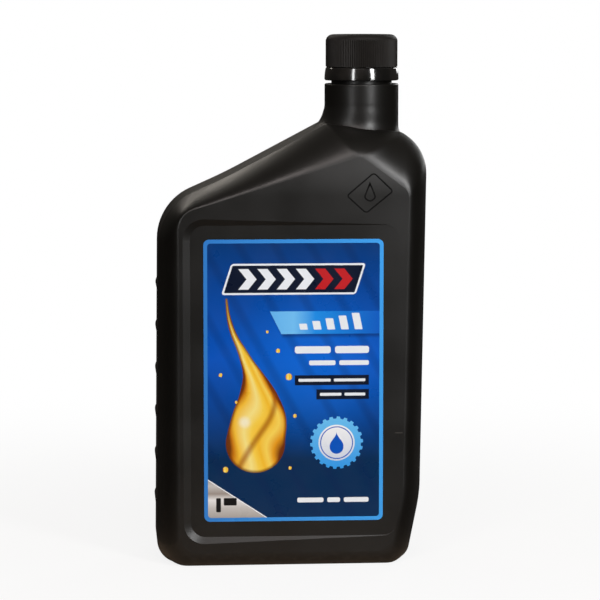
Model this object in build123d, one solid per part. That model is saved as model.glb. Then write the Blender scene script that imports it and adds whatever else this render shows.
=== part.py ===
"""Motor oil bottle: a blown body with an offset neck, a ribbed screw cap and a front label."""

import os
from math import atan2, cos, pi, radians, sin, sqrt, tan

from build123d import *

# Sizes in millimetres. The front faces -Y, the neck stands at the right (+X) and +Z is up.
HEIGHT = 222.2               # base to the top of the cap
BODY_WIDTH = 114.4           # crest of the grip ribs to the right wall
BODY_DEPTH = 58.0            # front panel to back panel
WALL = 0.9                   # blown wall
SIDE_STRIP = 30.0            # depth of the flat strip along the sides and the slope

# Front outline of the body
LEFT_LEAN = 1.5              # the left wall leans in by this up to the shoulder
SLOPE_BEND = 0.41            # share of the slope below its bend
SLOPE_SAG = 1.4              # the bend lies below the straight slope
PANEL_SAG = 0.3
NECK_BASE_DROP = 37.1        # from the top of the cap down to the ledge at the left of the neck
NECK_BASE_FALL = 3.6         # the ledge falls by this to the right
RIGHT_SHOULDER_DROP = 7.0    # from there to the right shoulder's corner
RIGHT_WALL_DROP = 20.1       # from the ledge down to the widest place of the right wall
RIGHT_LEAN = 2.3             # the right wall leans in by this down to the heel
HEEL_Z = 28.0
HEEL_INSET = 5.7             # from the heel in to the corner of the base
BASE_TRIM = 0.6              # cut off the rounded underside to leave a flat base
NECK_LEDGE_LEFT = 0.6        # level ledge between the slope and the neck

# Bevel from the side strip to the front and back panels
BEVEL_FLAT = 0.4             # share of the bevel that is flat; the rest is round
BEVEL_LEFT = 9.7
BEVEL_RIGHT = 8.8
PANEL_CORNER_DROP = 1.8      # left corner of the panel below that of the strip
PANEL_PEAK_DROP = 13.1       # peak of the panel below the base of the neck
PANEL_PEAK_WIDTH = 2.0
PANEL_PEAK_FALL = 0.2        # the peak falls by this to the right
PANEL_PEAK_SHIFT = 4.0       # left end of the peak from the neck's axis
PANEL_RIGHT_DROP = 16.8      # right corner of the panel below that of the strip
BASE_ROUND = 6.0             # lower edge of the front and back
ROUND_FIT = 0.98             # share of an edge that the rounds at its ends may take up

# Neck and finish
NECK_D = 31.3
NECK_INSET = 26.05           # neck axis from the right limit of the body
NECK_TOP_DROP = 20.7         # from the top of the cap down to the top of the neck
NECK_WALL = 1.3
NECK_ROUND = 0.6
FLARE_LEFT = 14.0            # hollow radius from the neck into the slope
FLARE_RIGHT = 3.8
FLARE_FRONT = 2.5
FLARE_FOOT = 2.0             # depth of the flare's foot inside the shoulder
FLARE_ARC = 60.0             # degrees of the hollow
FLARE_POINTS = 24
FLARE_GATHER = 6             # how closely the left and right hollows keep to their sides
FINISH_D = 25.6
BORE_D = 21.7
RIM_BEVEL = 0.5
BEAD_RISE = 1.1              # locking bead that holds the band
BEAD_HEIGHT = 1.4
BEAD_EDGE = 0.4

# Cap, liner and tamper band
CAP_D = 30.4
CAP_ROOF = 1.4
CAP_WALL = 1.1
CAP_EDGE = 3.1
RIB_COUNT = 120
RIB_DEPTH = 0.35
LINER_THICKNESS = 1.0
LINER_GAP = 0.35
BAND_HEIGHT = 5.5
BAND_ABOVE_NECK = 1.4
BAND_FLARE = 0.5
BAND_CROWN = 0.2             # the side of the band bulges by this
BAND_CROWN_ROUND = 18.0
BAND_BEVEL = 0.4
BAND_LIP_Z = 1.3             # lip above the lower edge of the band
BAND_LIP_HEIGHT = 1.0
BAND_FIT = 0.3               # clearance between the band and the bottle
BRIDGE_HEIGHT = 0.3          # slit between the band and the cap
BRIDGE_COUNT = 12
BRIDGE_SIZE = 0.7

# Label panel and label
RECESS_DEPTH = 1.2           # at the left; the floor rises to the panel at the right
RECESS_SIDE_MARGIN = 4.4
RECESS_BOTTOM_MARGIN = 6.9
RECESS_TOP_MARGIN = 4.8
RECESS_CORNER = 6.0
RECESS_WALL_ANGLE = 68.0     # lean of the wall from upright
LABEL_WIDTH = 75.0
LABEL_HEIGHT = 118.6
LABEL_CORNER = 2.4
LABEL_THICKNESS = 0.15
LABEL_LEFT_MARGIN = 5.5
LABEL_BOTTOM_MARGIN = 6.5
LABEL_TOP_MARGIN = 5.8

# Grip ribs on the left wall
GRIP_COUNT = 6
GRIP_FIRST_Z = 25.2
GRIP_PITCH = 18.3
GRIP_RISE = 0.6
GRIP_RADIUS = 4.0
GRIP_LENGTH = 22.0

# Push-up of the base
FOOT_RIM = 8.0
FOOT_RISE = 2.2
FOOT_CORNER = 9.0
FOOT_WALL_ANGLE = 45.0

half_width = BODY_WIDTH / 2
half_depth = BODY_DEPTH / 2
half_strip = SIDE_STRIP / 2
neck_x = half_width - NECK_INSET
neck_r = NECK_D / 2
finish_r = FINISH_D / 2
bore_r = BORE_D / 2
mouth_z = HEIGHT - CAP_ROOF - LINER_THICKNESS
neck_top_z = HEIGHT - NECK_TOP_DROP
neck_base_z = HEIGHT - NECK_BASE_DROP

# The label sets the height of its panel, and the panel that of the left shoulder
recess_bottom = BASE_ROUND + RECESS_BOTTOM_MARGIN
recess_height = LABEL_BOTTOM_MARGIN + LABEL_HEIGHT + LABEL_TOP_MARGIN
panel_top_left_z = recess_bottom + recess_height + RECESS_TOP_MARGIN
left_shoulder_z = panel_top_left_z + PANEL_CORNER_DROP

# The lowest grip rib is the left limit of the body
left_growth = LEFT_LEAN / left_shoulder_z
left_base = -half_width + GRIP_RISE - left_growth * GRIP_FIRST_Z
right_heel = half_width - RIGHT_LEAN
right_base = right_heel - HEEL_INSET
ledge_right_z = neck_base_z - NECK_BASE_FALL
right_shoulder_z = ledge_right_z - RIGHT_SHOULDER_DROP
right_wall_top_z = neck_base_z - RIGHT_WALL_DROP
right_growth = RIGHT_LEAN / (right_wall_top_z - HEEL_Z)
ledge_left = (neck_x - neck_r - NECK_LEDGE_LEFT, neck_base_z)
left_shoulder = (left_base + LEFT_LEAN, left_shoulder_z)


def slope_bend(low, high, sag):
    """Point on a slope, a little below the straight line between its ends."""
    point = Vector(low) + (Vector(high) - Vector(low)) * SLOPE_BEND
    return (point.X, point.Y - sag)


# Corners of the side strip, counterclockwise from the lower left, each with its round
STRIP = [
    (left_base, -BASE_TRIM),
    (right_base, -BASE_TRIM),
    (right_heel, HEEL_Z),
    (half_width + right_growth * (right_shoulder_z - right_wall_top_z), right_shoulder_z),
    (neck_x + neck_r, ledge_right_z),
    ledge_left,
    slope_bend(left_shoulder, ledge_left, SLOPE_SAG),
    left_shoulder,
]
STRIP_ROUNDS = [10.0, 7.5, 60.0, 19.5, 3.5, 3.0, 200.0, 24.0]

# Corners of the front panel in the same order
panel_left = left_base + BEVEL_LEFT
panel_right = right_heel - BEVEL_RIGHT
peak_left = neck_x - PANEL_PEAK_SHIFT
peak_z = neck_base_z - PANEL_PEAK_DROP
PANEL = [
    (panel_left, BASE_ROUND),
    (right_base - BEVEL_RIGHT, BASE_ROUND),
    (panel_right, HEEL_Z),
    (half_width - BEVEL_RIGHT, right_shoulder_z - PANEL_RIGHT_DROP),
    (peak_left + PANEL_PEAK_WIDTH, peak_z - PANEL_PEAK_FALL),
    (peak_left, peak_z),
    slope_bend((panel_left, panel_top_left_z), (peak_left, peak_z), PANEL_SAG),
    (panel_left, panel_top_left_z),
]
PANEL_ROUNDS = [7.5, 6.5, 45.0, 5.0, 4.0, 4.0, 400.0, 7.5]


def inset(corners, distance):
    """Corners of a counterclockwise convex outline, moved inward."""
    moved = []
    for i, corner in enumerate(corners):
        here = Vector(corner)
        before = (here - Vector(corners[i - 1])).normalized().rotate(Axis.Z, 90)
        after = (Vector(corners[(i + 1) % len(corners)]) - here).normalized().rotate(Axis.Z, 90)
        moved.append(here + (before + after) * (distance / (1 + before.dot(after))))
    return moved


def fitted(corners, rounds):
    """Rounds of an outline, cut back where two neighbours would be longer than the edge between them."""
    count = len(corners)
    edges = [Vector(corners[(i + 1) % count]) - Vector(corners[i]) for i in range(count)]
    turns = [radians(edges[i - 1].get_angle(edges[i])) for i in range(count)]
    reaches = [r * tan(turn / 2) for r, turn in zip(rounds, turns)]
    fits = [min(1.0, ROUND_FIT * edges[i].length / (reaches[i] + reaches[(i + 1) % count])) for i in range(count)]
    return [r * min(fits[i - 1], fits[i]) for i, r in enumerate(rounds)]


def section(share, thickness):
    """Outline of the body a share of the way from the side strip to the panel."""
    depth = half_strip + share * (half_depth - half_strip)
    blend = BEVEL_FLAT * share + (1 - BEVEL_FLAT) * (1 - sqrt(1 - share**2))
    corners = [Vector(s) + (Vector(p) - Vector(s)) * blend for s, p in zip(STRIP, PANEL)]
    over = max(0.0, depth - (half_depth - BASE_ROUND))
    base = BASE_ROUND - sqrt(BASE_ROUND**2 - over**2) - BASE_TRIM * (1 - share)
    corners = [Vector(c.X, base) if i < 2 else c for i, c in enumerate(corners)]
    rounds = [s + (p - s) * blend - thickness for s, p in zip(STRIP_ROUNDS, PANEL_ROUNDS)]
    corners = inset(corners, thickness)
    path = FilletPolyline(*corners, radius=fitted(corners, rounds), close=True)
    return Plane.XZ.offset(depth - thickness * share) * make_face(path.edges())


def blown_body(thickness):
    """Body from the front panel to the back panel, moved inward."""
    front = loft([section(share, thickness) for share in (0, 0.4, 0.75, 0.93, 0.985, 1)])
    middle = extrude(section(0, thickness), SIDE_STRIP, dir=(0, 1, 0))
    return front + middle + mirror(front, Plane.XZ)


recess_left = panel_left + RECESS_SIDE_MARGIN
recess_width = panel_right + RIGHT_LEAN - RECESS_SIDE_MARGIN - recess_left
recess_floor = Plane(
    origin=(recess_left, RECESS_DEPTH - half_depth, recess_bottom),
    x_dir=(recess_width, -RECESS_DEPTH, 0),
    z_dir=(-RECESS_DEPTH, -recess_width, 0),
)


def label_recess(thickness):
    """Room of the label panel on the front and the back, grown by a thickness."""
    area = Pos(recess_width / 2, recess_height / 2) * RectangleRounded(
        recess_width + 2 * thickness, recess_height + 2 * thickness, RECESS_CORNER + thickness
    )
    floor = recess_floor.offset(-thickness)
    room = extrude(floor * area, 2 * RECESS_DEPTH + thickness, taper=-RECESS_WALL_ANGLE)
    return room + mirror(room, Plane.XZ)


def push_up(thickness):
    """Room under the raised middle of the base, grown by a thickness."""
    width = right_base - left_base - STRIP_ROUNDS[0] - STRIP_ROUNDS[1] - FOOT_RIM
    depth = BODY_DEPTH - 2 * BASE_ROUND - 2 * FOOT_RIM
    area = Pos((left_base + STRIP_ROUNDS[0] + right_base - STRIP_ROUNDS[1]) / 2, 0) * RectangleRounded(
        width + 2 * thickness, depth + 2 * thickness, FOOT_CORNER
    )
    return extrude(area, FOOT_RISE + thickness, taper=FOOT_WALL_ANGLE)


def turned(points, rounds):
    """Solid turned round the neck's axis from radius and height points, each with its round."""
    outline = make_face(FilletPolyline(*points, radius=rounds, close=True).edges())
    return Pos(neck_x, 0) * revolve(Plane.XZ * outline, Axis.Z)


# Flare of the neck: a wide hollow into the slope at the left, small ones at the right and in front
slope_run = Vector(STRIP[5]) - Vector(STRIP[6])
shoulder_run = Vector(STRIP[4]) - Vector(STRIP[3])


def flare_top(base_z, radius, run):
    """Height where a hollow of a radius, set on a slope, runs out into the neck."""
    return base_z + radius * tan(pi / 4 - atan2(run.Y, abs(run.X)) / 2)


flare_left_z = flare_top(neck_base_z, FLARE_LEFT, slope_run)
flare_right_z = flare_top(ledge_right_z, FLARE_RIGHT, shoulder_run)
flare_front_z = ledge_right_z + FLARE_FRONT
flare_foot_z = ledge_right_z - FLARE_FOOT


def reach(radius, top, z):
    """Distance that a hollow of a radius stands out below its top."""
    drop = min(max(top - z, 0.0), radius * sin(radians(FLARE_ARC)))
    return radius - sqrt(radius**2 - drop**2)


def flare_section(share):
    """Level outline of the neck's flare, from its foot up."""
    z = flare_foot_z + share * (flare_left_z - flare_foot_z)
    left = reach(FLARE_LEFT, flare_left_z, z)
    right = reach(FLARE_RIGHT, flare_right_z, z)
    front = reach(FLARE_FRONT, flare_front_z, z)
    points = []
    for i in range(FLARE_POINTS):
        turn = 2 * pi * i / FLARE_POINTS
        to_left = ((1 - cos(turn)) / 2) ** FLARE_GATHER
        to_right = ((1 + cos(turn)) / 2) ** FLARE_GATHER
        radius = neck_r + front + (left - front) * to_left + (right - front) * to_right
        points.append((radius * cos(turn), radius * sin(turn)))
    return Pos(neck_x, 0, z) * make_face(Spline(*points, periodic=True))


flare_sections = [flare_section(share) for share in (0, 0.2, 0.4, 0.6, 0.8)]
flare = loft([*flare_sections, Pos(neck_x, 0, flare_left_z) * make_face(Circle(neck_r).edges())])

band_z = neck_top_z + BAND_ABOVE_NECK
lip_z = band_z + BAND_LIP_Z
bead_z = lip_z + BAND_LIP_HEIGHT + BAND_FIT
bead_r = finish_r + BEAD_RISE
finish = turned(
    [
        (0, flare_left_z),
        (neck_r, flare_left_z),
        (neck_r, neck_top_z),
        (finish_r, neck_top_z),
        (finish_r, bead_z),
        (bead_r, bead_z),
        (bead_r, bead_z + BEAD_EDGE),
        (finish_r, bead_z + BEAD_HEIGHT),
        (finish_r, mouth_z - RIM_BEVEL),
        (finish_r - RIM_BEVEL, mouth_z),
        (0, mouth_z),
    ],
    [0, 0, NECK_ROUND, 0, 0, 0, 0, 0, 0, 0, 0],
)
bore = turned(
    [
        (0, ledge_right_z - 2 * WALL),
        (neck_r - NECK_WALL, ledge_right_z - 2 * WALL),
        (neck_r - NECK_WALL, neck_top_z - neck_r + bore_r),
        (bore_r, neck_top_z - NECK_WALL),
        (bore_r, mouth_z),
        (0, mouth_z),
    ],
    [0, 0, 0, 0, 0, 0],
)

grip_heights = [GRIP_FIRST_Z + i * GRIP_PITCH for i in range(GRIP_COUNT)]
grip_bar = Rot(90, 0, 0) * Cylinder(GRIP_RADIUS, GRIP_LENGTH)
grip_x = left_base - GRIP_RISE + GRIP_RADIUS
grips = [Pos(grip_x + left_growth * z, 0, z) * grip_bar for z in grip_heights]

outside = split(blown_body(0), Plane.XY, keep=Keep.TOP) + flare + finish + grips
outside -= label_recess(0)
outside -= push_up(0)
inside = split(blown_body(WALL), Plane.XY.offset(WALL), keep=Keep.TOP)
inside -= label_recess(WALL)
inside -= push_up(WALL)
bottle = outside - inside - bore

# Label on the floor of the recess
label_middle = Pos(LABEL_LEFT_MARGIN + LABEL_WIDTH / 2, LABEL_BOTTOM_MARGIN + LABEL_HEIGHT / 2)
label_area = label_middle * RectangleRounded(LABEL_WIDTH, LABEL_HEIGHT, LABEL_CORNER)
front_label = extrude(recess_floor * label_area, LABEL_THICKNESS)

# Tamper band round the finish, with a lip under the bead and bridges up to the cap
cap_r = CAP_D / 2
cap_root = cap_r - RIB_DEPTH
cap_inner = cap_root - CAP_WALL
band_top = band_z + BAND_HEIGHT
band_inner = bead_r + BAND_FIT
lip_r = finish_r + BAND_FIT
tamper_band = turned(
    [
        (band_inner, band_z),
        (cap_r + BAND_FLARE - BAND_BEVEL, band_z),
        (cap_r + BAND_FLARE, band_z + BAND_BEVEL),
        (cap_r + BAND_FLARE / 2 + BAND_CROWN, band_z + BAND_HEIGHT / 2),
        (cap_r, band_top - BAND_BEVEL),
        (cap_r - BAND_BEVEL, band_top),
        (band_inner, band_top),
        (band_inner, lip_z + BAND_LIP_HEIGHT),
        (lip_r, lip_z + BAND_LIP_HEIGHT),
    ],
    [0, 0, 0, BAND_CROWN_ROUND, 0, 0, 0, 0, 0],
)
bridge = Box(BRIDGE_SIZE, BRIDGE_SIZE, BRIDGE_HEIGHT, align=(Align.CENTER, Align.CENTER, Align.MIN))
bridge_r = (band_inner + cap_root) / 2
bridges = PolarLocations(bridge_r, BRIDGE_COUNT) * bridge
tamper_band += [Pos(neck_x, 0, band_top) * b for b in bridges]

# Cap: fine ribs that run out into the rounded edge, and a hollow inside
skirt_z = band_top + BRIDGE_HEIGHT
steps = [(cap_r if i % 2 else cap_root, pi * i / RIB_COUNT) for i in range(2 * RIB_COUNT)]
rib_outline = Polyline(*[(r * cos(a), r * sin(a)) for r, a in steps], close=True)
dome_r = cap_r + RIB_DEPTH / 8
dome = turned([(0, skirt_z), (dome_r, skirt_z), (dome_r, HEIGHT), (0, HEIGHT)], [0, 0, CAP_EDGE, 0])
cap = dome & Pos(neck_x, 0, skirt_z) * extrude(make_face(rib_outline.edges()), HEIGHT - skirt_z)
cap -= Pos(neck_x, 0, skirt_z) * extrude(Circle(cap_inner), HEIGHT - CAP_ROOF - skirt_z)
cap_liner = Pos(neck_x, 0, mouth_z) * extrude(Circle(cap_inner - LINER_GAP), LINER_THICKNESS)

pieces = {
    "bottle": bottle,
    "front_label": front_label,
    "tamper_band": tamper_band,
    "cap": cap,
    "cap_liner": cap_liner,
}
os.makedirs("parts", exist_ok=True)
for name, piece in pieces.items():
    export_step(piece, f"parts/{name}.step")
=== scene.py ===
"""Looks of a one-quart motor oil bottle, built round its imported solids."""

from math import cos, pi, radians, sin

import bmesh
import bpy
from bpy.props import FloatProperty, FloatVectorProperty, IntProperty, PointerProperty
from mathutils import Color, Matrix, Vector


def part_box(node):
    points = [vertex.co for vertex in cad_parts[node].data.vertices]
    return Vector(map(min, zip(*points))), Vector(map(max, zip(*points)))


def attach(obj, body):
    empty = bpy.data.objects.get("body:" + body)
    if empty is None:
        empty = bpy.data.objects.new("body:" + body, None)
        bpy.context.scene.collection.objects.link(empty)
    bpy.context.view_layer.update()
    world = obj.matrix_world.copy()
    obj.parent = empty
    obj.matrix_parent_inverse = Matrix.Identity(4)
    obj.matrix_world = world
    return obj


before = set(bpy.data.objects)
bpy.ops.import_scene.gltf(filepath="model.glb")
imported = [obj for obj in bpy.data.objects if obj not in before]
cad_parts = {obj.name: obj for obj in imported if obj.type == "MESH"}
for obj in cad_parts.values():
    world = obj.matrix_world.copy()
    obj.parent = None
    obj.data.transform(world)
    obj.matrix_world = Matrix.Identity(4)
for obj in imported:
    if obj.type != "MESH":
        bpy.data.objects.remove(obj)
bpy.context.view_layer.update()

bl_info = {
    "name": "Motor Oil Bottle",
    "version": (1, 0, 0),
    "blender": (4, 5, 0),
    "location": "View3D > Sidebar > Oil Bottle",
    "description": "Finishes, threads, moulded sign, printed label and studio of a motor oil bottle",
    "category": "Object",
}

METRE = 1.0
MM = 0.001
FULL_COLOUR = 255
cap_low, cap_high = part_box("cap")
bottle_low, bottle_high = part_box("bottle")
label_low, label_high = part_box("front_label")
neck = Vector(((cap_low.x + cap_high.x) / 2, (cap_low.y + cap_high.y) / 2, 0))


def length(name, description, millimetres):
    """Size in millimetres as a property in metres."""
    return FloatProperty(
        name=name, description=description, default=millimetres * MM, unit="LENGTH", precision=5
    )


def colour(name, description, red, green, blue):
    """Display colour, each part from 0 to 255."""
    default = (red / FULL_COLOUR, green / FULL_COLOUR, blue / FULL_COLOUR)
    return FloatVectorProperty(
        name=name, description=description, default=default, min=0, max=1, size=3, subtype="COLOR_GAMMA"
    )


def share(name, description, default):
    """Number from 0 to 1."""
    return FloatProperty(
        name=name, description=description, default=default, min=0, max=1, subtype="FACTOR"
    )


class PlasticFinish(bpy.types.PropertyGroup):
    """Moulded plastics and the foam liner."""

    bottle: colour("Bottle", "Black of the blown bottle", 15, 14, 12)
    bottle_scuffed: colour("Scuffs", "Greyed black where the bottle has rubbed", 34, 31, 28)
    bottle_roughness: share("Bottle roughness", "Satin of the blown wall", 0.38)
    cap: colour("Cap", "Black of the moulded cap", 30, 28, 26)
    cap_roughness: share("Cap roughness", "Dull satin of the cap", 0.56)
    cap_sheen: share("Cap sheen", "Specular level of the cap", 0.22)
    # The sign's black is darker than the bottle's own plastic: painted shade that darkens the raised lines
    sign: colour("Sign", "Black of the raised sign", 5, 5, 5)
    sign_roughness: share("Sign roughness", "Matt face of the raised sign", 0.7)
    sign_sheen: share("Sign sheen", "Specular level of the raised sign", 0.12)
    band: colour("Band", "Black of the tamper band", 12, 12, 12)
    band_roughness: share("Band roughness", "Gloss of the tamper band", 0.12)
    band_sheen: share("Band sheen", "Specular level of the tamper band", 1.0)
    band_coat: share("Band coat", "Weight of the clear gloss on the tamper band", 1.0)
    band_coat_roughness: share("Band coat roughness", "Roughness of that clear gloss", 0.1)
    liner: colour("Liner", "White of the foam disc", 236, 234, 228)
    grain: length("Grain", "Size of the fine grain of the mould", 0.5)
    grain_depth: length("Grain depth", "Depth of the fine grain", 0.006)
    waviness: length("Waviness", "Size of the slow waves in the blown wall", 22)
    wave_depth: length("Wave depth", "Depth of the slow waves", 0.05)
    seam: length("Seam", "Half width of the mould's parting line", 0.22)
    seam_rise: length("Seam rise", "Height of the mould's parting line", 0.08)
    side_fall: length("Side fall", "How far the swelling panels fall back at the right side", 2.2)
    peak_fall: length("Peak fall", "How far the swelling panels fall back towards the neck", 2.6)
    peak_low: length("Peak low", "Height at which the panels start to fall back", 156)
    peak_high: length("Peak high", "Height at which the neck's foot starts", 186)
    rub_top: length("Rub top", "Height at which the rubbing of the foot ends", 9)
    rub_low: length("Rub low", "Height up to which the foot has rubbed most", 1)
    scratch: colour("Scratch", "Pale plastic in the scratch beside the label", 66, 63, 60)
    scratch_x: length("Scratch X", "Middle of the scratch from the middle of the bottle", 44.4)
    scratch_z: length("Scratch Z", "Height of the scratch above the base", 56.3)
    scratch_length: length("Scratch length", "Length of the scratch", 4.2)
    scratch_width: length("Scratch width", "Width of the scratch", 0.5)


class ThreadSizes(bpy.types.PropertyGroup):
    """Screw thread of the neck and of the cap."""

    lead: length("Lead", "Rise of the thread in one turn", 3.175)
    turns: FloatProperty(
        name="Turns", description="Length of each thread in turns", default=1.6, min=0.5, max=3
    )
    steps: IntProperty(name="Steps", description="Facets in one turn", default=72, min=24, max=144)
    finish_radius: length("Finish radius", "Radius of the neck below the thread", 12.8)
    cap_radius: length("Cap radius", "Inner radius of the cap's side", 13.75)
    rise: length("Rise", "Height of the thread over its wall", 0.7)
    foot: length("Foot", "Width of the thread at its wall", 1.6)
    crest: length("Crest", "Width of the thread at its top", 0.7)
    sink: length("Sink", "Depth of the thread's foot in its wall", 0.2)
    start: length("Start", "Height of the lower end of the neck's thread", 212.0)


class SignSizes(bpy.types.PropertyGroup):
    """Moulded sign on the front panel."""

    x: length("X", "Middle of the sign from the middle of the bottle", 32.0)
    z: length("Z", "Middle of the sign above the base", 157.2)
    line: length("Line", "Width of the raised line", 0.8)
    rise: length("Rise", "Height of the raised line", 0.06)
    sink: length("Sink", "Depth of the line's foot in the wall", 0.2)
    lozenge_corner: length("Lozenge corner", "Length cut off each corner of the lozenge", 1.6)
    drop_corner: length("Drop corner", "Length cut off each corner of the drop", 1.3)


class LabelPrint(bpy.types.PropertyGroup):
    """Colours of the printed film."""

    border_width: length("Border", "Width of the border", 1.6)
    # The border's blue is print; its lightening from left to right is a painted sheen
    border_left: colour("Border left", "Border at the left", 50, 128, 210)
    border_right: colour("Border right", "Border at the right", 66, 168, 250)
    field_top: colour("Field top", "Ground at the top", 0, 56, 120)
    field_middle: colour("Field middle", "Ground in the middle", 0, 86, 196)
    field_bottom: colour("Field bottom", "Ground at the bottom", 0, 44, 86)
    bar: colour("Bar", "Cross bar", 30, 146, 240)
    white: colour("White", "White print", 240, 246, 252)
    dark: colour("Dark", "Dark print", 8, 20, 44)
    red: colour("Red", "Red print", 196, 32, 38)
    roughness: share("Roughness", "Gloss of the film", 0.3)
    sheen: share("Sheen", "Specular level of the film", 0.35)
    ripple: length("Ripple", "Depth of the ripples in the film", 0.015)


class StudioSetup(bpy.types.PropertyGroup):
    """Camera, lamps and floor."""

    camera: FloatVectorProperty(
        name="Camera",
        description="Place of the camera",
        default=(-81.2 * MM, -1146.8 * MM, 239.4 * MM),
        subtype="XYZ_LENGTH",
        unit="LENGTH",
    )
    target: FloatVectorProperty(
        name="Target",
        description="Point that the camera looks at",
        default=(5.05 * MM, 0, 109.4 * MM),
        subtype="XYZ_LENGTH",
        unit="LENGTH",
    )
    lens: FloatProperty(
        name="Lens", description="Focal length on a 36 mm sensor", default=162.8, unit="CAMERA"
    )
    floor: colour("Floor", "Floor as the camera sees it", 250, 249, 247)
    # Painted pool of light on the floor near the bottle, seen only in the plastic's reflections
    painted_pool: colour("Table", "Floor near the bottle as the plastic mirrors it", 196, 172, 146)
    room: colour("Room", "Tint of the room round the bottle", 255, 244, 230)
    dim: share("Dim", "Light of the room at eye level", 0.035)
    overhead: share("Overhead", "Light of the room overhead", 0.12)


class OilBottle(bpy.types.PropertyGroup):
    """All settings of the bottle."""

    plastic: PointerProperty(name="Plastic", description="Plastics and foam liner", type=PlasticFinish)
    thread: PointerProperty(name="Thread", description="Screw thread of neck and cap", type=ThreadSizes)
    sign: PointerProperty(name="Sign", description="Moulded sign on the front", type=SignSizes)
    label: PointerProperty(name="Label", description="Printed film label", type=LabelPrint)
    studio: PointerProperty(name="Studio", description="Camera, room and floor", type=StudioSetup)


def linear(display):
    """Display colour as the linear colour that a shader takes."""
    return (*Color(display).from_srgb_to_scene_linear(), 1.0)


# Part of a noise's range over which a roughness goes from its lowest to its highest
MOTTLE = (0.3, 0.7)


class Layout:
    """Lays out the nodes of one material: a number is set on its socket, a socket is linked."""

    def __init__(self, name):
        self.material = bpy.data.materials.new(name)
        self.material.use_nodes = True
        self.tree = self.material.node_tree
        self.surface = self.tree.nodes["Principled BSDF"]
        self.place = self.node("ShaderNodeTexCoord").outputs["Object"]

    def join(self, socket, value):
        """Give a socket a link or a number."""
        if isinstance(value, bpy.types.NodeSocket):
            self.tree.links.new(value, socket)
        else:
            socket.default_value = value

    def node(self, kind, inputs=None, **settings):
        """New node with its settings and inputs."""
        made = self.tree.nodes.new(kind)
        for key, value in settings.items():
            setattr(made, key, value)
        for key, value in (inputs or {}).items():
            self.join(made.inputs[key], value)
        return made

    def math(self, operation, *values):
        """Result of one sum."""
        return self.node("ShaderNodeMath", dict(enumerate(values)), operation=operation).outputs[0]

    def square(self, value):
        """A value times itself."""
        return self.math("POWER", value, 2.0)

    def reach(self, wide, tall):
        """Length of the slanted side over two square ones."""
        return self.math("SQRT", self.math("ADD", self.square(wide), self.square(tall)))

    def away(self, value, middle):
        """Distance of a value from a middle."""
        return self.math("ABSOLUTE", self.math("SUBTRACT", value, middle))

    def span(self, value, low, high, start=0.0, end=1.0):
        """Value from low to high, eased into start to end."""
        inputs = {"Value": value, "From Min": low, "From Max": high, "To Min": start, "To Max": end}
        return self.node("ShaderNodeMapRange", inputs, interpolation_type="SMOOTHSTEP").outputs[0]

    def noise(self, scale, detail):
        """Noise of a scale, in cycles a metre."""
        inputs = {"Vector": self.place, "Scale": scale, "Detail": detail}
        return self.node("ShaderNodeTexNoise", inputs).outputs["Fac"]

    def mottle(self, noise, roughness, lower, higher):
        """Roughness that wanders lower and higher with a noise."""
        return self.span(noise, *MOTTLE, roughness - lower, roughness + higher)

    def split(self, place=None):
        """The three parts of a place."""
        return self.node("ShaderNodeSeparateXYZ", {0: place or self.place}).outputs

    def over(self, below, above, mask):
        """A colour laid over another where a mask is one."""
        return self.node("ShaderNodeMix", {0: mask, 6: below, 7: above}, data_type="RGBA").outputs[2]

    def ramp(self, value, stops):
        """Colour at a value, between stops of a place and a display colour."""
        made = self.node("ShaderNodeValToRGB", {"Fac": value})
        bar = made.color_ramp.elements
        bar[0].position = stops[0][0]
        bar[1].position = stops[-1][0]
        for place, _ in stops[1:-1]:
            bar.new(place)
        for element, (_, display) in zip(bar, stops):
            element.color = linear(display)
        return made.outputs["Color"]

    def curve(self, value, points):
        """Height of a smooth line through points from 0 to 1."""
        made = self.node("ShaderNodeFloatCurve", {"Value": value})
        line = made.mapping.curves[0].points
        line[0].location = points[0]
        line[1].location = points[-1]
        for point in points[1:-1]:
            line.new(*point)
        made.mapping.update()
        return made.outputs["Value"]

    def bump(self, height, depth, below=None):
        """Surface raised by a height from 0 to 1 times a depth."""
        inputs = {"Height": height, "Distance": depth, "Strength": 1.0}
        if below:
            inputs["Normal"] = below
        return self.node("ShaderNodeBump", inputs).outputs[0]

    def finish(self, **inputs):
        """Set the surface's own sockets and give back the material."""
        for key, value in inputs.items():
            self.join(self.surface.inputs[key.replace("_", " ").title().replace("Ior", "IOR")], value)
        return self.material


def dress(node, material):
    """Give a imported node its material."""
    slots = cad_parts[node].data.materials
    slots.clear()
    slots.append(material)


# Noises of the finishes: cycles in a metre and detail
CLOUDS = (45.0, 3.0)
RUBBING = (420.0, 4.0)
WEAR = (300.0, 3.0)
DULL_PATCHES = (160.0, 3.0)
BAND_CLOUDS = (120.0, 2.0)
BAND_WAVES = (180.0, 1.0)
FILM_PATCHES = (90.0, 3.0)
FILM_RIPPLES = (70.0, 1.0)
FLOOR_PATCHES = (9.0, 3.0)
GRAIN_DETAIL = 2.0
WAVE_DETAIL = 1.0

# Part of a noise's range over which a second colour comes in
RUB_SPOTS = (0.45, 0.75)
SIGN_SPOTS = (0.4, 0.6)
WORN_SPOTS = (0.4, 0.7)

# How far a roughness wanders below and above its mean
SATIN_SWING = (0.03, 0.04)
MATT_SWING = (0.05, 0.05)
FILM_SWING = (0.03, 0.05)
FLOOR_SWING = (0.04, 0.04)

# Rubbing, parting line, scratch, ribs and band
RUB_DULLING = 0.15
SEAM_CREST = 0.4
SCRATCH_END = 0.5
SCRATCH_CORE = 0.25
RIB_CREST = 0.3 * MM
BAND_WAVE_DEPTH = 0.01 * MM

# Closed cells of the liner's foam
CELL_SCALE = 3200.0
CELL_DEPTH = 0.06 * MM
CELL_SHADE = 0.86
CELL_MIDDLES = (0.5, 0.1)
CELL_WALLS = (0.1, 0.6)
CELL_ROUGHNESS = (0.65, 0.5)


def mould_grain(skin, plastic, below=None):
    """Fine grain that the mould leaves on a plastic."""
    return skin.bump(skin.noise(1 / plastic.grain, GRAIN_DETAIL), plastic.grain_depth, below)


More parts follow.
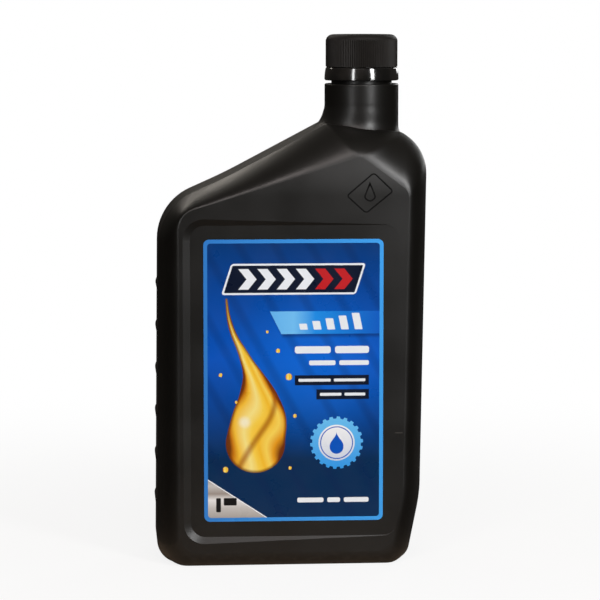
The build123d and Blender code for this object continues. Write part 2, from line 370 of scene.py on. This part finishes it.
def scratch_mark(skin, plastic):
    """Mask of a short level scratch on the front, thinned out at its ends and sides."""
    x, y, z = skin.split()
    half = plastic.scratch_length / 2
    thin = plastic.scratch_width / 2
    along = skin.span(skin.away(x, plastic.scratch_x), half, SCRATCH_END * half)
    aside = skin.span(skin.away(z, plastic.scratch_z), thin, SCRATCH_CORE * thin)
    front = skin.span(y, 0.0, bottle_low.y / 2)
    return skin.math("MULTIPLY", skin.math("MULTIPLY", along, aside), front)


def blown_plastic(plastic):
    """Satin black polyethylene of a blown wall, with its waves, swell, parting line and rubbed foot."""
    skin = Layout("blown_plastic")
    x, y, z = skin.split()
    spots = skin.span(skin.noise(*RUBBING), *RUB_SPOTS)
    rubbed = skin.math("MULTIPLY", skin.span(z, plastic.rub_top, plastic.rub_low), spots)
    shade = skin.over(linear(plastic.bottle), linear(plastic.bottle_scuffed), rubbed)
    shade = skin.over(shade, linear(plastic.scratch), scratch_mark(skin, plastic))
    gloss = skin.mottle(skin.noise(*CLOUDS), plastic.bottle_roughness, *SATIN_SWING)
    gloss = skin.math("MULTIPLY_ADD", rubbed, RUB_DULLING, gloss)
    right = skin.math("MAXIMUM", skin.math("DIVIDE", x, bottle_high.x), 0.0)
    peak = skin.span(z, plastic.peak_low, plastic.peak_high, 0.0, -plastic.peak_fall)
    swell = skin.bump(skin.math("MULTIPLY_ADD", skin.square(right), -plastic.side_fall, peak), METRE)
    waves = skin.bump(skin.noise(1 / plastic.waviness, WAVE_DETAIL), plastic.wave_depth, swell)
    seam = skin.span(skin.math("ABSOLUTE", y), plastic.seam, SEAM_CREST * plastic.seam)
    line = skin.bump(seam, plastic.seam_rise, waves)
    return skin.finish(base_color=shade, roughness=gloss, normal=mould_grain(skin, plastic, line))


def sign_plastic_painted_shade(plastic):
    """Matt black polyethylene of the raised sign, painted darker than the bottle as painted shade on its
    lines.
    """
    skin = Layout("sign_plastic_painted_shade")
    cloud = skin.noise(*WEAR)
    return skin.finish(
        # Painted shade: the sign's black is darker than the bottle around it
        base_color=skin.over(linear(plastic.sign), linear(plastic.band), skin.span(cloud, *SIGN_SPOTS)),
        roughness=skin.mottle(cloud, plastic.sign_roughness, *MATT_SWING),
        normal=mould_grain(skin, plastic),
        specular_ior_level=plastic.sign_sheen,
    )


def cap_plastic(plastic):
    """Dull black polypropylene, a little greyer on the crests of the ribs."""
    skin = Layout("cap_plastic")
    x, y, _ = skin.split()
    outer = cap_high.x - neck.x
    radius = skin.reach(skin.math("SUBTRACT", x, neck.x), y)
    crest = skin.span(radius, outer - RIB_CREST, outer)
    worn = skin.math("MULTIPLY", crest, skin.span(skin.noise(*WEAR), *WORN_SPOTS))
    return skin.finish(
        base_color=skin.over(linear(plastic.cap), linear(plastic.bottle_scuffed), worn),
        roughness=skin.mottle(skin.noise(*DULL_PATCHES), plastic.cap_roughness, *MATT_SWING),
        normal=mould_grain(skin, plastic),
        specular_ior_level=plastic.cap_sheen,
    )


def band_plastic(plastic):
    """Smooth glossy black polypropylene of the torn-off band."""
    skin = Layout("band_plastic")
    cloud = skin.noise(*BAND_CLOUDS)
    return skin.finish(
        base_color=skin.over(linear(plastic.band), linear(plastic.cap), skin.span(cloud, *WORN_SPOTS)),
        roughness=skin.mottle(cloud, plastic.band_roughness, *SATIN_SWING),
        normal=skin.bump(skin.noise(*BAND_WAVES), BAND_WAVE_DEPTH),
        specular_ior_level=plastic.band_sheen,
        coat_weight=plastic.band_coat,
        coat_roughness=plastic.band_coat_roughness,
    )


def liner_foam(plastic):
    """White foam sheet with fine closed cells."""
    skin = Layout("liner_foam")
    cells = skin.node("ShaderNodeTexVoronoi", {"Vector": skin.place, "Scale": CELL_SCALE}).outputs["Distance"]
    shaded = tuple(CELL_SHADE * part for part in plastic.liner)
    return skin.finish(
        base_color=skin.over(linear(plastic.liner), linear(shaded), skin.span(cells, *CELL_MIDDLES)),
        roughness=skin.span(cells, *CELL_WALLS, *CELL_ROUGHNESS),
        normal=skin.bump(cells, CELL_DEPTH),
    )


# Soft edge of the print and least half width of a stream, in millimetres
EDGE = 0.12
THINNEST = 0.01


class Print(Layout):
    """Printed film: shapes in millimetres from the label's lower left corner, laid one over another."""

    def __init__(self, name):
        super().__init__(name)
        corner = (-label_low.x / MM, 0.0, -label_low.z / MM)
        inputs = {0: self.place, 1: (1 / MM, 1 / MM, 1 / MM), 2: corner}
        sheet = self.node("ShaderNodeVectorMath", inputs, operation="MULTIPLY_ADD").outputs[0]
        self.across, _, self.up = self.split(sheet)
        self.width = (label_high.x - label_low.x) / MM
        self.height = (label_high.z - label_low.z) / MM
        self.ground = None

    def edge(self, distance, soft=EDGE):
        """Mask that is one inside a shape, from the distance to its edge."""
        return self.span(distance, soft, -soft)

    def lay(self, ink, mask):
        """Print an ink on the ground where a mask is one."""
        self.ground = self.over(self.ground, ink, mask)

    def fill(self, ink, distance):
        """Print a shape."""
        self.lay(ink, self.edge(distance))

    def beyond(self, value, middle, half):
        """How far a value lies outside a half width round a middle."""
        return self.math("SUBTRACT", self.away(value, middle), half)

    def box(self, left, right, low, high, lean=0.0, corner=0.0):
        """Distance to an upright or leaning box."""
        across = self.across
        if lean:
            offset = self.math("SUBTRACT", self.up, (low + high) / 2)
            across = self.math("MULTIPLY_ADD", offset, -lean, across)
        wide = self.beyond(across, (left + right) / 2, (right - left) / 2 - corner)
        tall = self.beyond(self.up, (low + high) / 2, (high - low) / 2 - corner)
        if not corner:
            return self.math("MAXIMUM", wide, tall)
        parts = {0: self.math("MAXIMUM", wide, 0.0), 1: self.math("MAXIMUM", tall, 0.0)}
        outside = self.node("ShaderNodeCombineXYZ", parts).outputs[0]
        round_part = self.node("ShaderNodeVectorMath", {0: outside}, operation="LENGTH").outputs["Value"]
        inside = self.math("MINIMUM", self.math("MAXIMUM", wide, tall), 0.0)
        return self.math("SUBTRACT", self.math("ADD", round_part, inside), corner)

    def from_point(self, across, up):
        """Distance from a point."""
        return self.reach(self.math("SUBTRACT", self.across, across), self.math("SUBTRACT", self.up, up))

    def disc(self, across, up, radius):
        """Distance to a disc."""
        return self.math("SUBTRACT", self.from_point(across, up), radius)

    def flow(self, middles, widths):
        """Place across a stream, from -1 to 1, between lines of its middle and half width up the label."""
        level = self.math("DIVIDE", self.up, self.height)
        middle = self.curve(level, [(v / self.height, u / self.width) for v, u in middles])
        half = self.curve(level, [(v / self.height, w / self.width) for v, w in widths])
        offset = self.math("SUBTRACT", self.across, self.math("MULTIPLY", middle, self.width))
        room = self.math("MAXIMUM", self.math("MULTIPLY", half, self.width), THINNEST)
        return self.math("DIVIDE", offset, room), room


# Further inks, as display colours from 0 to 1
GLOW = (0.05, 0.47, 0.95)
RAY = (0.0, 0.12, 0.32)
BAR_SHINE = (0.46, 0.78, 1.0)
BAR_SHADE = (0.05, 0.36, 0.78)
OIL_FOLD = (0.62, 0.30, 0.03)
OIL_SHINE = (1.0, 0.97, 0.84)
OIL_RIM = (0.42, 0.18, 0.02)
COG_LOW = (0.16, 0.60, 0.95)
COG_HIGH = (0.45, 0.80, 1.0)
DISC_LOW = (0.82, 0.86, 0.93)
DISC_HIGH = (0.98, 0.99, 1.0)
CORNER_INK = (0.07, 0.07, 0.08)

# Oil from side to side and steel from foot to top: place and ink
OIL = [
    (0.0, (0.46, 0.22, 0.02)),
    (0.06, (0.80, 0.48, 0.05)),
    (0.16, (0.98, 0.77, 0.22)),
    (0.36, (1.0, 0.92, 0.55)),
    (0.5, (1.0, 0.84, 0.30)),
    (0.64, (0.98, 0.76, 0.18)),
    (0.78, (1.0, 0.86, 0.36)),
    (0.9, (0.92, 0.62, 0.10)),
    (1.0, (0.46, 0.20, 0.02)),
]
STEEL = [
    (0.0, (0.62, 0.60, 0.58)),
    (0.3, (0.78, 0.77, 0.76)),
    (0.48, (0.93, 0.93, 0.93)),
    (0.62, (0.62, 0.58, 0.55)),
    (0.8, (0.80, 0.79, 0.78)),
    (1.0, (0.56, 0.55, 0.54)),
]

# Oil stream: height on the label with the stream's middle, and with its half width
STREAM_MIDDLES = [
    (20.0, 21.0), (33.0, 21.5), (46.0, 23.0), (58.0, 22.0), (70.0, 17.0), (82.0, 11.5), (94.0, 9.5)
]
STREAM_WIDTHS = [
    (20.0, 12.4), (33.0, 12.4), (44.0, 11.4), (54.0, 7.8), (64.0, 3.8), (74.0, 1.8), (84.0, 1.0), (94.0, 0.4)
]

# Loose drops of oil: place across, height and radius
LOOSE_DROPS = (
    (35.5, 61.0, 1.4),
    (31.0, 72.0, 0.9),
    (9.0, 22.0, 1.2),
    (38.0, 44.5, 0.8),
    (7.0, 62.0, 0.8),
    (26.5, 80.0, 0.6),
    (36.0, 22.5, 0.7),
    (13.5, 50.5, 0.6),
)

# Rows of plain bars: low and high edge, then the left and right ends
BAR_ROWS = (
    (70.8, 73.8, ((38.0, 53.0), (54.8, 69.0))),
    (65.8, 67.8, ((44.0, 55.0), (56.6, 69.0))),
    (7.8, 9.8, ((39.0, 50.0), (51.6, 57.0), (58.6, 69.0))),
)

# Dark strips with bars on them: low edge and left end
STRIPS = ((57.4, 38.0), (51.4, 47.0))


def blue_field(film, label):
    """Blue ground with a glow and slanting rays."""
    deep_end = 0.22
    bright_place = 0.58
    glow_middle = (46.0, 66.0)
    glow_fade = (42.0, 4.0)
    glow_share = 0.5
    ray_lean = 0.55
    ray_rate = 0.42
    ray_rise = (0.2, 1.4)
    ray_share = 0.35
    stops = [
        (0.0, label.field_bottom),
        (deep_end, label.field_bottom),
        (bright_place, label.field_middle),
        (1.0, label.field_top),
    ]
    film.ground = film.ramp(film.math("DIVIDE", film.up, film.height), stops)
    film.lay(linear(GLOW), film.span(film.from_point(*glow_middle), *glow_fade, 0.0, glow_share))
    slant = film.math("MULTIPLY_ADD", film.up, ray_lean, film.across)
    rays = film.math("SINE", film.math("MULTIPLY", slant, ray_rate))
    film.lay(linear(RAY), film.span(rays, *ray_rise, 0.0, ray_share))


def emblem(film, label):
    """Leaning dark plate with a white rim, white chevrons and a red end."""
    left, right, low, high = 9.5, 65.5, 95.5, 108.5
    lean = 0.32
    corner = 1.2
    rim = 0.8
    pitch = 8.0
    half_stroke = 2.1
    half_height = 4.3
    point = 0.8
    row_middle = 40.0
    row_half = 23.0
    red_start = (47.9, 48.1)
    level = (low + high) / 2
    plate = film.box(left, right, low, high, lean, corner)
    film.fill(linear(label.white), plate)
    film.fill(linear(label.dark), film.math("ADD", plate, rim))
    peak = film.math("MULTIPLY_ADD", film.away(film.up, level), point, film.across)
    stroke = film.beyond(film.math("MODULO", peak, pitch), pitch / 2, half_stroke)
    row = film.beyond(peak, row_middle, row_half)
    height = film.beyond(film.up, level, half_height)
    chevrons = film.math("MAXIMUM", film.math("MAXIMUM", stroke, row), height)
    ink = film.over(linear(label.white), linear(label.red), film.span(peak, *red_start))
    film.fill(ink, chevrons)


def cross_bar(film, label):
    """Shining bar from the right over a soft shadow, with a rising scale of strokes."""
    left, right, low, high = 30.0, 80.0, 79.0, 88.5
    lean = -0.5
    shine_place = 0.5
    shine_end = 0.62
    shadow_right = 0.6
    shadow_down = 1.2
    shadow_soft = 0.9
    shadow_share = 0.5
    strokes = 5
    first = 40.0
    pitch = 5.6
    width = 3.2
    foot = 80.8
    top = 82.2
    growth = 1.1
    stroke_lean = -0.2
    corner = 0.3
    shadow = film.box(left + shadow_right, right, low - shadow_down, high - shadow_down, lean)
    film.lay(linear(label.dark), film.math("MULTIPLY", film.edge(shadow, shadow_soft), shadow_share))
    stops = [(0.0, label.bar), (shine_place, BAR_SHINE), (shine_end, label.bar), (1.0, BAR_SHADE)]
    tone = film.ramp(film.math("DIVIDE", film.across, film.width), stops)
    film.fill(tone, film.box(left, right, low, high, lean))
    for i in range(strokes):
        start = first + pitch * i
        stroke = film.box(start, start + width, foot, top + growth * (i + 1), stroke_lean, corner)
        film.fill(linear(label.white), stroke)


def plain_bars(film, label):
    """Rows of plain rounded bars, and two dark strips with bars on them."""
    round_share = 1 / 3
    right = 69.0
    tall = 4.2
    margin = 1.5
    thick = 1.2
    corner = 0.4
    gap_left = 0.5
    gap_right = 0.8
    white = linear(label.white)
    for low, high, ends in BAR_ROWS:
        for begin, end in ends:
            film.fill(white, film.box(begin, end, low, high, 0.0, round_share * (high - low)))
    for low, left in STRIPS:
        middle = (left + right) / 2
        foot = low + margin
        film.fill(linear(label.dark), film.box(left, right, low, low + tall))
        for begin, end in ((left + margin, middle - gap_left), (middle + gap_right, right - margin)):
            film.fill(white, film.box(begin, end, foot, foot + thick, 0.0, corner))


def falling_oil(film):
    """Thin stream of oil that swells into a hanging drop, with loose drops beside it."""
    swirl_up = 0.22
    swirl_across = 2.2
    swirl_depth = 0.09
    fold_lean = -0.045
    fold_place = 1.55
    fold_width = 0.22
    fold_share = 0.7
    shine_middle = (17.0, 42.0)
    shine_fade = (3.4, 0.6)
    shine_share = 0.9
    bulb_across = 21.5
    bulb_up = 33.0
    bulb_radius = 12.4
    tip_up = 94.0
    rim_width = 1.6
    rim_share = 0.85
    cross, half = film.flow(STREAM_MIDDLES, STREAM_WIDTHS)
    turn = film.math("MULTIPLY_ADD", film.up, swirl_up, film.math("MULTIPLY", cross, swirl_across))
    side = film.math("MULTIPLY_ADD", cross, 1 / 2, 1 / 2)
    oil = film.ramp(film.math("MULTIPLY_ADD", film.math("SINE", turn), swirl_depth, side), OIL)
    fold = film.math("MULTIPLY_ADD", film.up, fold_lean, film.math("ADD", cross, fold_place))
    crease = film.span(film.math("ABSOLUTE", fold), fold_width, 0.0, 0.0, fold_share)
    oil = film.over(oil, linear(OIL_FOLD), crease)
    shine = film.span(film.from_point(*shine_middle), *shine_fade, 0.0, shine_share)
    oil = film.over(oil, linear(OIL_SHINE), shine)
    body = film.math("MULTIPLY", film.math("SUBTRACT", film.math("ABSOLUTE", cross), 1.0), half)
    ends = film.beyond(film.up, (tip_up + bulb_up) / 2, (tip_up - bulb_up) / 2)
    stream = film.math("MAXIMUM", body, ends)
    drop = film.math("MINIMUM", stream, film.disc(bulb_across, bulb_up, bulb_radius))
    oil = film.over(oil, linear(OIL_RIM), film.span(drop, -rim_width, 0.0, 0.0, rim_share))
    film.fill(oil, drop)
    for across, up, radius in LOOSE_DROPS:
        place = film.math("DIVIDE", film.math("SUBTRACT", film.across, across - radius), 2 * radius)
        film.fill(film.ramp(place, OIL), film.disc(across, up, radius))


def cog_badge(film, label):
    """Light cog round a white disc with a ring and a blue drop."""
    across, up = 55.5, 33.0
    teeth = 22.0
    tooth_flank = (-0.4, 0.4)
    tooth_depth = 0.9
    cog_radius = 10.2
    cog_stops = [(0.3, COG_LOW), (0.7, COG_HIGH)]
    disc_radius = 7.6
    disc_stops = [(0.38, DISC_LOW), (0.6, DISC_HIGH)]
    ring_radius = 6.7
    ring_half = 0.22
    tip = 37.6
    cone_foot = 31.6
    bulb = 31.2
    bulb_radius = 2.9
    blue = linear(label.field_middle)
    level = film.math("DIVIDE", film.up, 2 * up)
    radius = film.from_point(across, up)
    beside = film.math("SUBTRACT", film.across, across)
    above = film.math("SUBTRACT", film.up, up)
    wave = film.math("SINE", film.math("MULTIPLY", film.math("ARCTAN2", above, beside), teeth))
    cog = film.math("MULTIPLY_ADD", film.span(wave, *tooth_flank), -tooth_depth, radius)
    film.fill(film.ramp(level, cog_stops), film.math("SUBTRACT", cog, cog_radius))
    film.fill(film.ramp(level, disc_stops), film.math("SUBTRACT", radius, disc_radius))
    film.fill(blue, film.beyond(radius, ring_radius, ring_half))
    flank = film.span(film.up, tip, cone_foot, 0.0, bulb_radius)
    cone = film.math("SUBTRACT", film.away(film.across, across), flank)
    point = film.math("MAXIMUM", cone, film.beyond(film.up, (tip + bulb) / 2, (tip - bulb) / 2))
    film.fill(blue, film.math("MINIMUM", point, film.disc(across, bulb, bulb_radius)))


def steel_corner(film, label):
    """Steel corner at the lower left, cut on a slant, with a white edge and two dark bars."""
    high = 19.0
    slant = 0.66
    edge = 0.5
    bars = ((5.0, 7.0, 4.0), (8.2, 13.6, 6.8))
    bar_top = 10.0
    bar_corner = 0.4
    slope = film.math("MULTIPLY_ADD", film.across, slant, film.math("SUBTRACT", film.up, high))
    film.fill(linear(label.white), slope)
    film.fill(film.ramp(film.math("DIVIDE", film.up, high), STEEL), film.math("ADD", slope, edge))
    for left, right, low in bars:
        film.fill(linear(CORNER_INK), film.box(left, right, low, bar_top, 0.0, bar_corner))


def border(film, label):
    """Light blue border round the print, painted lighter towards the right as a painted sheen."""
    corner = 1.4
    margin = label.border_width / MM
    inner = film.box(margin, film.width - margin, margin, film.height - margin, 0.0, corner)
    # Painted sheen: the border lightens towards the right
    stops = [(0.0, label.border_left), (1.0, label.border_right)]
    tone = film.ramp(film.math("DIVIDE", film.across, film.width), stops)
    film.ground = film.over(tone, film.ground, film.edge(inner))


def printed_film(label):
    """Blue label: emblem, cross bar, plain bars, falling oil, cog badge and steel corner in a border."""
    film = Print("printed_film")
    blue_field(film, label)
    emblem(film, label)
    cross_bar(film, label)
    plain_bars(film, label)
    falling_oil(film)
    cog_badge(film, label)
    steel_corner(film, label)
    border(film, label)
    return film.finish(
        base_color=film.ground,
        roughness=film.mottle(film.noise(*FILM_PATCHES), label.roughness, *FILM_SWING),
        normal=film.bump(film.noise(*FILM_RIPPLES), label.ripple),
        specular_ior_level=label.sheen,
    )


def new_piece(name, shape, material, body):
    """Turn a bmesh into a piece that rides on a body."""
    bmesh.ops.recalc_face_normals(shape, faces=shape.faces[:])
    mesh = bpy.data.meshes.new(name)
    shape.to_mesh(mesh)
    shape.free()
    mesh.materials.append(material)
    piece = bpy.data.objects.new(name, mesh)
    bpy.context.scene.collection.objects.link(piece)
    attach(piece, body)
    return piece


def wound_ridge(thread, wall, crest, start):
    """Ridge of a thread, wound up round the neck from a wall to a crest radius, with both ends run out."""
    foot = wall - thread.sink if crest > wall else wall + thread.sink
    foot_half = thread.foot / 2
    crest_half = thread.crest / 2
    profile = [(foot, -foot_half), (crest, -crest_half), (crest, crest_half), (foot, foot_half)]
    shape = bmesh.new()
    ring = [shape.verts.new((neck.x + radius, neck.y, start + height)) for radius, height in profile]
    edges = [shape.edges.new((ring[i], ring[i - 1])) for i in range(len(ring))]
    steps = round(thread.turns * thread.steps)
    made = bmesh.ops.spin(
        shape,
        geom=ring + edges,
        cent=neck,
        axis=(0, 0, 1),
        dvec=(0, 0, thread.lead * thread.turns / steps),
        angle=2 * pi * thread.turns,
        steps=steps,
    )
    last = [part for part in made["geom_last"] if isinstance(part, bmesh.types.BMVert)]
    for corner in ring + last:
        out = Vector((corner.co.x, corner.co.y, 0)) - neck
        corner.co.xy = (neck + out.normalized() * foot).xy
    open_edges = [edge for edge in shape.edges if edge.is_boundary]
    bmesh.ops.holes_fill(shape, edges=open_edges, sides=len(profile))
    for face in shape.faces:
        face.smooth = True
    return shape


# Raised sign: corners in millimetres from its middle, facets of its rounds, rounded share of its line
LOZENGE = [(-10.2, -1.2), (-1.6, -9.0), (10.2, 0.6), (1.6, 8.8)]
DROP = [(-2.9, -2.2), (0.0, -4.2), (2.9, -2.2), (0.0, 5.0)]
CORNER_FACETS = 6
RIM_FACETS = 3
RIM_ROUND = 0.3


def raised_line(shape, points, corner, sign):
    """Closed raised line on the front panel, round points in x and z."""
    outline = bmesh.new()
    top_y = bottle_low.y - sign.rise
    outline.faces.new([outline.verts.new((x, top_y, z)) for x, z in points])
    bmesh.ops.bevel(
        outline,
        geom=outline.verts[:],
        offset=corner,
        segments=CORNER_FACETS,
        profile=0.5,
        affect="VERTICES",
        material=-1,
    )
    middle = outline.faces[:]
    bmesh.ops.inset_region(
        outline, faces=middle, thickness=sign.line, use_boundary=True, use_even_offset=True
    )
    bmesh.ops.delete(outline, geom=middle, context="FACES_ONLY")
    rims = [edge for edge in outline.edges if edge.is_boundary]
    foot = bmesh.ops.extrude_face_region(outline, geom=outline.faces[:], use_keep_orig=True)["geom"]
    lowered = [part for part in foot if isinstance(part, bmesh.types.BMVert)]
    bmesh.ops.translate(outline, verts=lowered, vec=(0, sign.rise + sign.sink, 0))
    bmesh.ops.bevel(
        outline,
        geom=rims,
        offset=RIM_ROUND * sign.line,
        segments=RIM_FACETS,
        profile=0.5,
        affect="EDGES",
        material=-1,
    )
    part = bpy.data.meshes.new("line")
    outline.to_mesh(part)
    outline.free()
    shape.from_mesh(part)
    bpy.data.meshes.remove(part)


class BOTTLE_OT_body(bpy.types.Operator):
    """Finish the blown bottle"""

    bl_idname = "bottle.body"
    bl_label = "Bottle"

    def execute(self, context):
        dress("bottle", blown_plastic(context.scene.oil_bottle.plastic))
        return {"FINISHED"}


class BOTTLE_OT_closure(bpy.types.Operator):
    """Finish the cap, its liner and the tamper band"""

    bl_idname = "bottle.closure"
    bl_label = "Cap, liner and band"

    def execute(self, context):
        plastic = context.scene.oil_bottle.plastic
        dress("cap", cap_plastic(plastic))
        dress("tamper_band", band_plastic(plastic))
        dress("cap_liner", liner_foam(plastic))
        return {"FINISHED"}


class BOTTLE_OT_threads(bpy.types.Operator):
    """Wind the screw thread on the neck and in the cap"""

    bl_idname = "bottle.threads"
    bl_label = "Threads"

    def execute(self, context):
        thread = context.scene.oil_bottle.thread
        neck_crest = thread.finish_radius + thread.rise
        cap_crest = thread.cap_radius - thread.rise
        outer = wound_ridge(thread, thread.finish_radius, neck_crest, thread.start)
        inner = wound_ridge(thread, thread.cap_radius, cap_crest, thread.start - thread.lead / 2)
        new_piece("neck_thread", outer, bpy.data.materials["blown_plastic"], "container")
        new_piece("cap_thread", inner, bpy.data.materials["cap_plastic"], "closure")
        return {"FINISHED"}


class BOTTLE_OT_sign(bpy.types.Operator):
    """Raise a plain sign, a drop in a lozenge, on the front panel"""

    bl_idname = "bottle.sign"
    bl_label = "Moulded sign"

    def execute(self, context):
        sign = context.scene.oil_bottle.sign
        shape = bmesh.new()
        for points, corner in ((LOZENGE, sign.lozenge_corner), (DROP, sign.drop_corner)):
            placed = [(sign.x + x * MM, sign.z + z * MM) for x, z in points]
            raised_line(shape, placed, corner, sign)
        matt = sign_plastic_painted_shade(context.scene.oil_bottle.plastic)
        new_piece("moulded_sign", shape, matt, "container")
        return {"FINISHED"}


class BOTTLE_OT_label(bpy.types.Operator):
    """Print the film label"""

    bl_idname = "bottle.label"
    bl_label = "Label"

    def execute(self, context):
        dress("front_label", printed_film(context.scene.oil_bottle.label))
        return {"FINISHED"}


# Lamps: name, degrees round and above the bottle, metres away, width and height, watts and tint
NEUTRAL = (1.0, 1.0, 1.0)
LAMPS = (
    ("key_left", -30, 14, 1.1, (0.12, 0.50), 1.7, NEUTRAL),
    ("key_right", 30.5, 22, 1.0, (0.15, 0.56), 6.0, NEUTRAL),
    ("top_front", -8, 42, 1.0, (0.60, 0.36), 3.4, (1.0, 0.90, 0.87)),
    ("top_back", 202, 38, 1.0, (0.60, 0.08), 1.2, (1.0, 0.93, 0.84)),
    ("back_right", 150, 20, 1.2, (0.30, 0.60), 2.0, NEUTRAL),
)

# Sensor in millimetres, nearest view in metres, and the slope of view over which the room gets lighter
SENSOR_WIDTH = 36
CLIP_START = 0.01
ROOM_RISE = (0.3, 0.9)

# Floor in metres: its half size, the painted pool of light that the plastic mirrors, and the white round the
# shadow
FLOOR_HALF = 6.0
FLOOR_ROUGHNESS = 0.86
POOL_MIDDLE = (-0.02, -0.05, 0.0)
POOL_EDGE = (0.05, 0.12)
POOL_FALLOFF = 0.25
SHADOW_EDGE = (0.06, 0.5)
WHITE_SHARE = (0.86, 1.0)


def aim(thing, place, target):
    """Stand a lamp or camera at a place, turned to a target."""
    thing.location = place
    thing.rotation_euler = (target - place).to_track_quat("-Z", "Y").to_euler()
    bpy.context.scene.collection.objects.link(thing)


def softbox(target, name, azimuth, elevation, distance, size, power, tint):
    """Soft lamp at an angle round and above a target."""
    lamp = bpy.data.lights.new(name, "AREA")
    lamp.shape = "RECTANGLE"
    lamp.size, lamp.size_y = size
    lamp.energy = power
    lamp.color = tint
    turn = radians(azimuth)
    lift = radians(elevation)
    place = Vector((sin(turn) * cos(lift), -cos(turn) * cos(lift), sin(lift))) * distance
    aim(bpy.data.objects.new(name, lamp), target + place, target)


def studio_world(studio):
    """White for the camera, and for reflections a dim room that is lighter overhead."""
    world = bpy.data.worlds.new("studio")
    world.use_nodes = True
    tree = world.node_tree
    room = tree.nodes["Background"]
    room.inputs["Color"].default_value = linear(studio.room)
    heading = tree.nodes.new("ShaderNodeSeparateXYZ")
    tree.links.new(tree.nodes.new("ShaderNodeTexCoord").outputs["Generated"], heading.inputs[0])
    lift = tree.nodes.new("ShaderNodeMapRange")
    lift.interpolation_type = "SMOOTHSTEP"
    limits = (*ROOM_RISE, studio.dim, studio.overhead)
    for key, value in zip(("From Min", "From Max", "To Min", "To Max"), limits):
        lift.inputs[key].default_value = value
    tree.links.new(heading.outputs["Z"], lift.inputs["Value"])
    tree.links.new(lift.outputs[0], room.inputs["Strength"])
    white = tree.nodes.new("ShaderNodeBackground")
    white.inputs["Color"].default_value = (1, 1, 1, 1)
    seen = tree.nodes.new("ShaderNodeMixShader")
    tree.links.new(tree.nodes.new("ShaderNodeLightPath").outputs["Is Camera Ray"], seen.inputs[0])
    tree.links.new(room.outputs[0], seen.inputs[1])
    tree.links.new(white.outputs[0], seen.inputs[2])
    tree.links.new(seen.outputs[0], tree.nodes["World Output"].inputs["Surface"])
    return world


def pale_floor(studio):
    """Matt floor: white round a soft shadow for the camera, and for reflections a painted warm pool of light
    near the bottle that darkens further out.
    """
    ground = Layout("pale_floor")
    camera = ground.node("ShaderNodeLightPath").outputs["Is Camera Ray"]
    middle = {0: ground.place, 1: POOL_MIDDLE}
    beside = ground.node("ShaderNodeVectorMath", middle, operation="DISTANCE").outputs["Value"]
    # For reflections the floor is painted warm near the bottle and darker further out: a painted pool of
    # light
    edge = tuple(POOL_FALLOFF * part for part in studio.painted_pool)
    painted_pool = ground.over(linear(studio.painted_pool), linear(edge), ground.span(beside, *POOL_EDGE))
    ground.finish(
        base_color=ground.over(painted_pool, linear(studio.floor), camera),
        roughness=ground.mottle(ground.noise(*FLOOR_PATCHES), FLOOR_ROUGHNESS, *FLOOR_SWING),
    )
    white = ground.node("ShaderNodeEmission", {"Strength": 1.0})
    radius = ground.node("ShaderNodeVectorMath", {0: ground.place}, operation="LENGTH").outputs["Value"]
    lit = ground.math("MULTIPLY", camera, ground.span(radius, *SHADOW_EDGE, *WHITE_SHARE))
    mix = ground.node("ShaderNodeMixShader", {0: lit, 1: ground.surface.outputs[0], 2: white.outputs[0]})
    ground.join(ground.tree.nodes["Material Output"].inputs["Surface"], mix.outputs[0])
    return ground.material


class BOTTLE_OT_stage(bpy.types.Operator):
    """Set up the floor, lamps and camera"""

    bl_idname = "bottle.stage"
    bl_label = "Studio"

    def execute(self, context):
        scene = context.scene
        studio = scene.oil_bottle.studio
        scene.view_settings.view_transform = "Standard"
        scene.world = studio_world(studio)
        shape = bmesh.new()
        bmesh.ops.create_grid(shape, x_segments=1, y_segments=1, size=FLOOR_HALF)
        mesh = bpy.data.meshes.new("floor")
        shape.to_mesh(mesh)
        shape.free()
        mesh.materials.append(pale_floor(studio))
        floor = bpy.data.objects.new("floor", mesh)
        scene.collection.objects.link(floor)
        target = Vector(studio.target)
        for lamp in LAMPS:
            softbox(target, *lamp)
        lens = bpy.data.cameras.new("camera")
        lens.sensor_width = SENSOR_WIDTH
        lens.lens = studio.lens
        lens.clip_start = CLIP_START
        camera = bpy.data.objects.new("camera", lens)
        aim(camera, Vector(studio.camera), target)
        scene.camera = camera
        return {"FINISHED"}


OPERATORS = (
    BOTTLE_OT_body,
    BOTTLE_OT_closure,
    BOTTLE_OT_threads,
    BOTTLE_OT_sign,
    BOTTLE_OT_label,
    BOTTLE_OT_stage,
)


class BOTTLE_PT_sidebar(bpy.types.Panel):
    """Steps and settings of the oil bottle"""

    bl_label = "Motor Oil Bottle"
    bl_idname = "BOTTLE_PT_sidebar"
    bl_space_type = "VIEW_3D"
    bl_region_type = "UI"
    bl_category = "Oil Bottle"

    def draw(self, context):
        for operator in OPERATORS:
            self.layout.operator(operator.bl_idname)
        settings = context.scene.oil_bottle
        for group in ("plastic", "thread", "sign", "label", "studio"):
            box = self.layout.box()
            part = getattr(settings, group)
            for name in part.bl_rna.properties.keys():
                if name not in {"rna_type", "name"}:
                    box.prop(part, name)


GROUPS = (PlasticFinish, ThreadSizes, SignSizes, LabelPrint, StudioSetup, OilBottle)
CLASSES = (*GROUPS, *OPERATORS, BOTTLE_PT_sidebar)


def register():
    """Make the settings, steps and panel known."""
    for part in CLASSES:
        bpy.utils.register_class(part)
    bpy.types.Scene.oil_bottle = PointerProperty(type=OilBottle)


def unregister():
    """Take the settings, steps and panel away again."""
    del bpy.types.Scene.oil_bottle
    for part in reversed(CLASSES):
        bpy.utils.unregister_class(part)


def main():
    """Run every step in order."""
    register()
    bpy.ops.bottle.body()
    bpy.ops.bottle.closure()
    bpy.ops.bottle.threads()
    bpy.ops.bottle.sign()
    bpy.ops.bottle.label()
    bpy.ops.bottle.stage()


if __name__ == "__main__":
    main()
